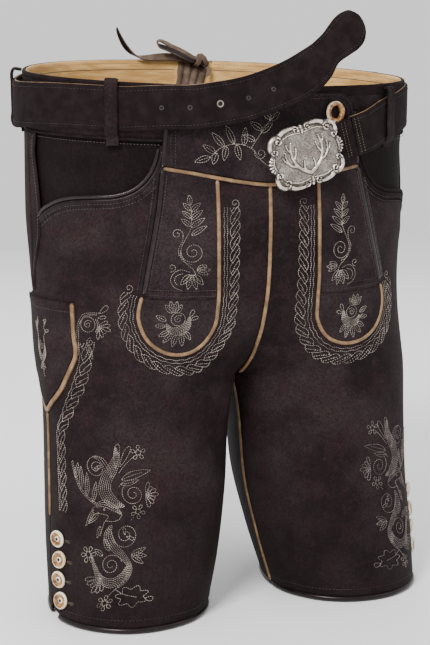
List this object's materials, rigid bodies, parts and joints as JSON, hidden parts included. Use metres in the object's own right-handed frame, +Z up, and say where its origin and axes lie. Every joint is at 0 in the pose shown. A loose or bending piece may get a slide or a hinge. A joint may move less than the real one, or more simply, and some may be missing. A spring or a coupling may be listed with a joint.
{
  "type": "lederhosen",
  "caption": "Knee-length leather breeches with drop front, piped patches, side vents, laced back and a hanging unfastened belt buckle.",
  "frame": {"origin": "middle of the waist opening, level with the waist edge at the side seams, where the wearer's waist holds the garment", "axes": "-Y is the front, +X the wearer's left, +Z up along the wearer's trunk"},
  "size_m": [0.3455, 0.2589, 0.4973],
  "materials": {
    "nubuck": "matt nubuck, dark brown",
    "lining": "smooth beige lining leather",
    "tan_piping": "matt tan piping",
    "black_leather": "satin black binding leather",
    "belt_leather": "dark suede strap, tan back",
    "lace_leather": "taupe suede lace",
    "horn": "polished horn",
    "antique_metal": "antique silver"
  },
  "bodies": {
    "garment": {"back_gusset": "lace_leather", "back_left": "nubuck", "back_right": "nubuck", "belt_fold": "belt_leather", "belt_loop_back_left": "nubuck", "belt_loop_back_right": "nubuck", "belt_loop_front_left": "nubuck", "belt_loop_front_right": "nubuck", "belt_loop_side_left": "nubuck", "belt_loop_side_right": "nubuck", "belt_strap": "belt_leather", "flap_band": "nubuck", "flap_band_piping": "tan_piping", "flap_button_left": "horn", "flap_button_right": "horn", "flap_edge_piping_left": "black_leather", "flap_edge_piping_right": "black_leather", "flap_patch_left": "nubuck", "flap_patch_piping_left": "tan_piping", "flap_patch_piping_right": "tan_piping", "flap_patch_right": "nubuck", "flap_strip_left": "nubuck", "flap_strip_right": "nubuck", "front_left": "nubuck", "front_right": "nubuck", "front_seam_piping": "tan_piping", "hem_back_left": "black_leather", "hem_back_right": "black_leather", "hem_button_left_1": "horn", "hem_button_left_2": "horn", "hem_button_left_3": "horn", "hem_button_left_4": "horn", "hem_button_right_1": "horn", "hem_button_right_2": "horn", "hem_button_right_3": "horn", "hem_button_right_4": "horn", "hem_front_left": "black_leather", "hem_front_right": "black_leather", "inseam_piping_left": "tan_piping", "inseam_piping_right": "tan_piping", "knife_pocket": "nubuck", "knife_pocket_piping": "tan_piping", "lace_bow": "lace_leather", "lace_cross_1": "lace_leather", "lace_cross_2": "lace_leather", "lace_cross_3": "lace_leather", "lace_end": "lace_leather", "lace_knot": "lace_leather", "lining_left": "lining", "lining_right": "lining", "pocket_facing_left": "nubuck", "pocket_facing_right": "nubuck", "pocket_piping_left": "black_leather", "pocket_piping_right": "black_leather", "side_seam_piping_left": "tan_piping", "side_seam_piping_right": "tan_piping", "waistband_left": "nubuck", "waistband_right": "nubuck"},
    "buckle": {"buckle_plate": "antique_metal", "buckle_bar": "antique_metal"}
  },
  "joints": [
    {"name": "buckle_swing", "type": "hinge", "parent": "garment", "child": "buckle", "pos_m": [0.05993, -0.10434, -0.05683], "axis": [-0.275, -0.0192, 0.9613], "range_deg": [0, 46]}
  ]
}
